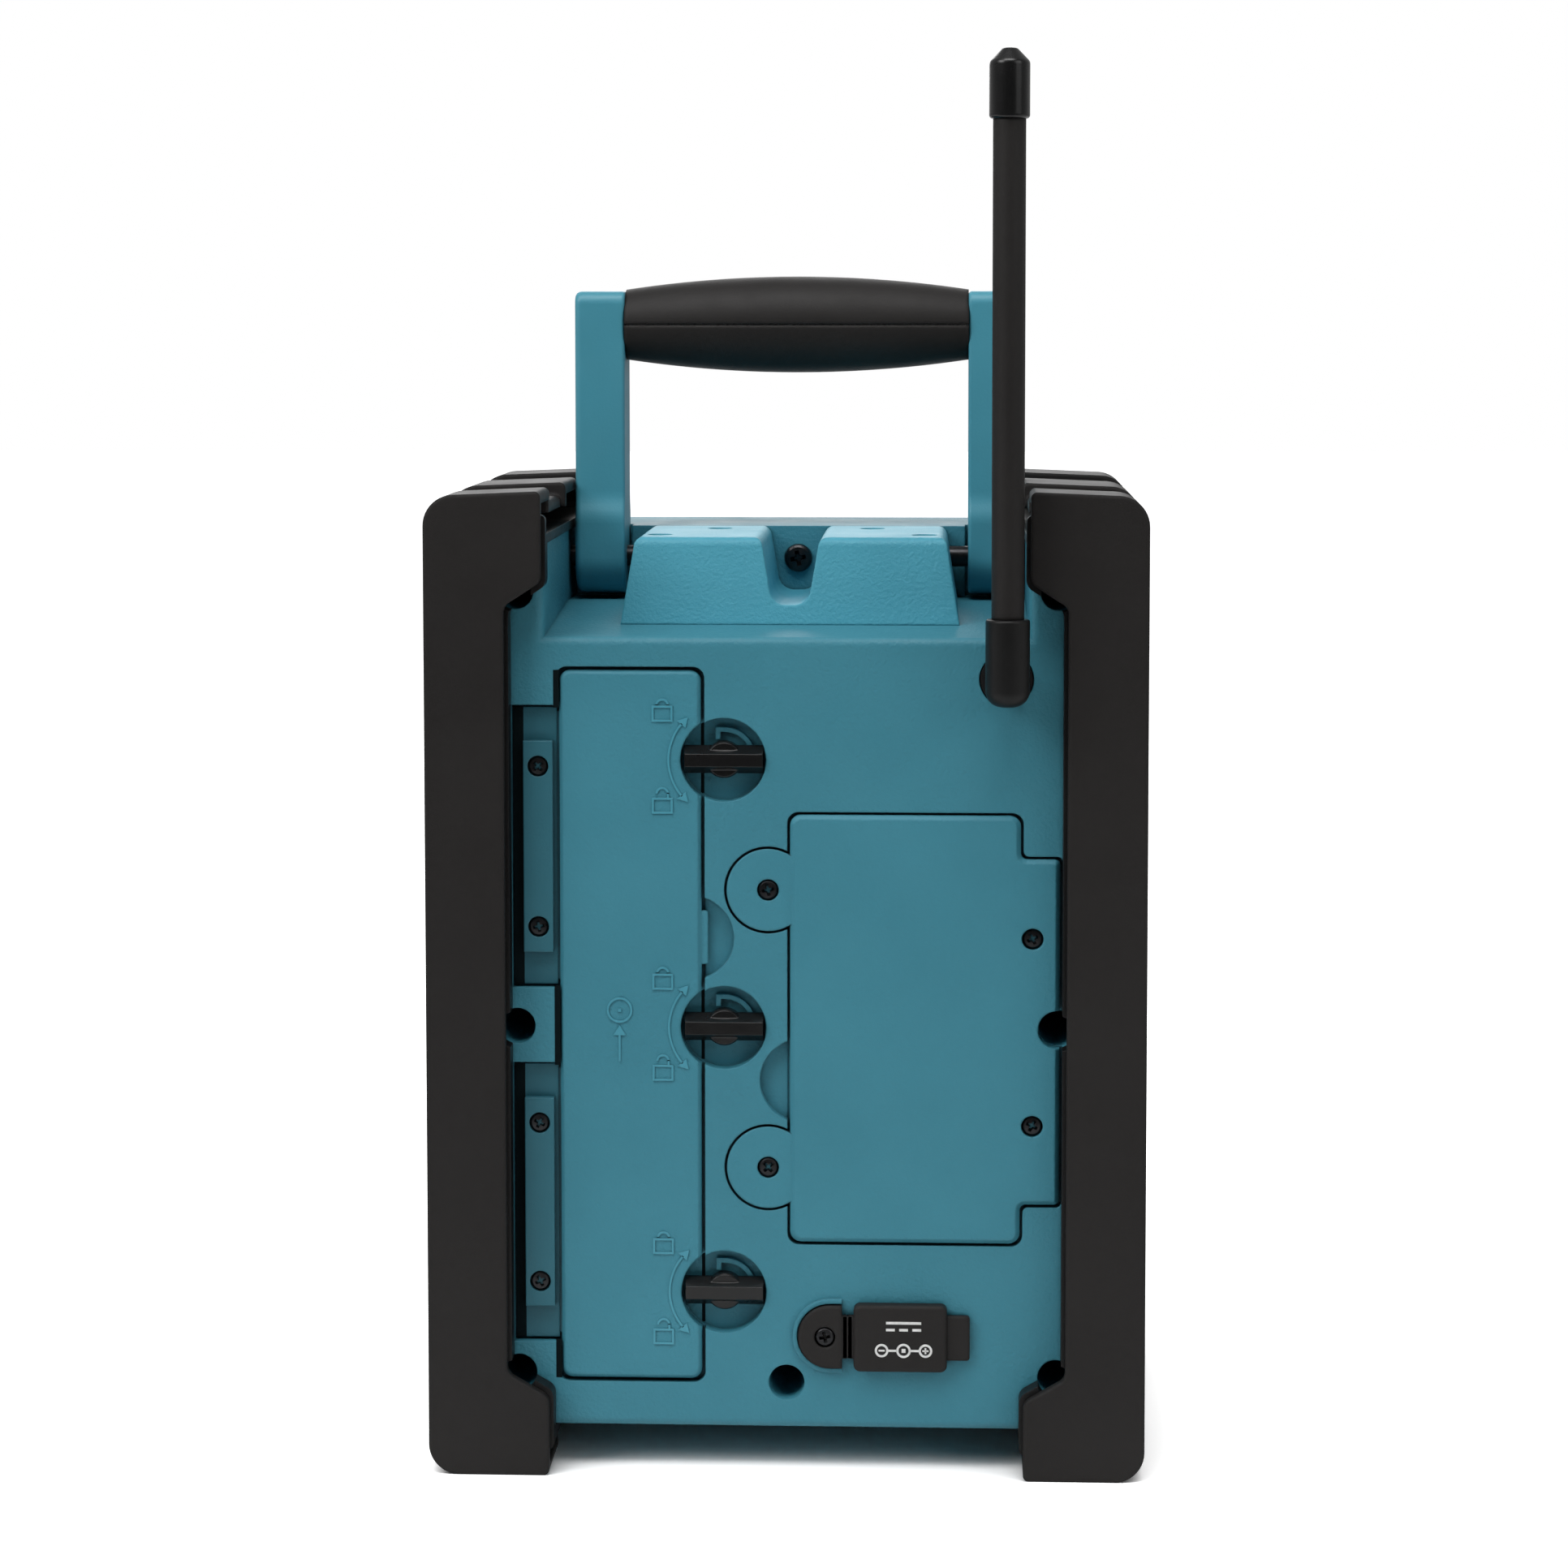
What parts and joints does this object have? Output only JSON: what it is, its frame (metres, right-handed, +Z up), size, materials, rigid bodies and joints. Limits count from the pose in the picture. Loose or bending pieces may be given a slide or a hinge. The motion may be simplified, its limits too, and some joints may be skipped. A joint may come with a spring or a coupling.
{
  "type": "jobsite radio",
  "caption": "Compact jobsite radio with a moulded case between corrugated side guards, a folding carry handle, a latched socket door and a swivelling whip antenna.",
  "frame": {"origin": "on the plane of the feet, under the middle of the guards' width and depth", "axes": "+Z up, +Y out of the rear face with the door and the antenna, +X to the right of somebody who looks at the front"},
  "size_m": [0.163, 0.1434, 0.323],
  "materials": {
    "teal_case": "fine spark-eroded texture",
    "guard_black": "satin",
    "frame_black": "satin",
    "knob_black": "gloss",
    "screw_black": "black oxide",
    "steel": "satin",
    "cell_wrap": "satin",
    "board_green": "solder mask",
    "lens_clear": "clear",
    "display_grey": "satin",
    "speaker_paper": "pressed paper",
    "magnet_grey": "ferrite"
  },
  "bodies": {
    "case": {"rear_case": "teal_case", "front_case": "teal_case", "guard_right": "guard_black", "guard_left": "guard_black", "guard_frame_right": "frame_black", "guard_frame_left": "frame_black", "handle_bracket": "teal_case", "bracket_screws": "screw_black", "notch_screw": "screw_black", "case_screws": "screw_black", "handle_pins": "steel", "antenna_bush": "frame_black", "socket_bay": "frame_black", "aux_socket": "frame_black", "battery_tub": "frame_black", "battery_cells": "cell_wrap", "battery_contacts": "steel", "hinge_straps": "teal_case", "hinge_clamp_upper": "teal_case", "hinge_clamp_lower": "teal_case", "hinge_clamp_screws": "screw_black", "battery_cover": "teal_case", "battery_cover_screws": "screw_black", "power_jack": "frame_black", "flap_anchor": "guard_black", "flap_screw": "screw_black", "speaker_grille": "frame_black", "speaker_basket": "steel", "speaker_cone": "speaker_paper", "speaker_magnet": "magnet_grey", "display_lens": "lens_clear", "display_panel": "display_grey", "volume_encoder": "steel", "button_switches": "frame_black", "main_board": "board_green"},
    "handle": {"handle_arm_right": "teal_case", "handle_arm_left": "teal_case", "handle_core": "steel", "grip_upper": "guard_black", "grip_lower": "guard_black"},
    "door": {"bay_door": "teal_case"},
    "latch_upper": {"latch_knob_upper": "knob_black", "latch_clip_upper": "steel"},
    "latch_middle": {"latch_knob_middle": "knob_black", "latch_clip_middle": "steel"},
    "latch_lower": {"latch_knob_lower": "knob_black", "latch_clip_lower": "steel"},
    "antenna": {"antenna_knuckle": "frame_black", "antenna_rod": "guard_black", "antenna_cap": "knob_black"},
    "flap": {"inlet_flap": "guard_black"},
    "volume": {"volume_knob": "knob_black"},
    "button_power": {"button_power": "knob_black"},
    "button_band": {"button_band": "knob_black"},
    "button_tune_down": {"button_tune_down": "knob_black"},
    "button_tune_up": {"button_tune_up": "knob_black"},
    "button_preset": {"button_preset": "knob_black"}
  },
  "joints": [
    {"name": "handle_swing", "type": "hinge", "parent": "case", "child": "handle", "pos_m": [0, -0.008, 0.206], "axis": [-1, 0, 0], "range_deg": [0, 90]},
    {"name": "door_hinge", "type": "hinge", "parent": "case", "child": "door", "pos_m": [0.052, 0.0546, 0.1024], "axis": [0, 0, -1], "range_deg": [0, 110]},
    {"name": "latch_turn_upper", "type": "hinge", "parent": "case", "child": "latch_upper", "pos_m": [0.0142, 0.0546, 0.1637], "axis": [0, -1, 0], "range_deg": [0, 90]},
    {"name": "latch_turn_middle", "type": "hinge", "parent": "case", "child": "latch_middle", "pos_m": [0.0142, 0.0546, 0.1023], "axis": [0, -1, 0], "range_deg": [0, 90]},
    {"name": "latch_turn_lower", "type": "hinge", "parent": "case", "child": "latch_lower", "pos_m": [0.0142, 0.0546, 0.0411], "axis": [0, -1, 0], "range_deg": [0, 90]},
    {"name": "antenna_swivel", "type": "hinge", "parent": "case", "child": "antenna", "pos_m": [-0.0498, 0.0676, 0.1823], "axis": [0, 1, 0], "range_deg": [-90, 80]},
    {"name": "flap_hinge", "type": "hinge", "parent": "case", "child": "flap", "pos_m": [-0.014, 0.0564, 0.0313], "axis": [0, 0, -1], "range_deg": [0, 110]},
    {"name": "volume_turn", "type": "hinge", "parent": "case", "child": "volume", "pos_m": [0, -0.0546, 0.131], "axis": [0, -1, 0], "range_deg": [0, 300]},
    {"name": "press_power", "type": "slide", "parent": "case", "child": "button_power", "axis": [0, 1, 0], "range_m": [0, 0.0008], "stiffness_N_per_m": 300},
    {"name": "press_band", "type": "slide", "parent": "case", "child": "button_band", "axis": [0, 1, 0], "range_m": [0, 0.0008], "stiffness_N_per_m": 300},
    {"name": "press_tune_down", "type": "slide", "parent": "case", "child": "button_tune_down", "axis": [0, 1, 0], "range_m": [0, 0.0008], "stiffness_N_per_m": 300},
    {"name": "press_tune_up", "type": "slide", "parent": "case", "child": "button_tune_up", "axis": [0, 1, 0], "range_m": [0, 0.0008], "stiffness_N_per_m": 300},
    {"name": "press_preset", "type": "slide", "parent": "case", "child": "button_preset", "axis": [0, 1, 0], "range_m": [0, 0.0008], "stiffness_N_per_m": 300}
  ]
}
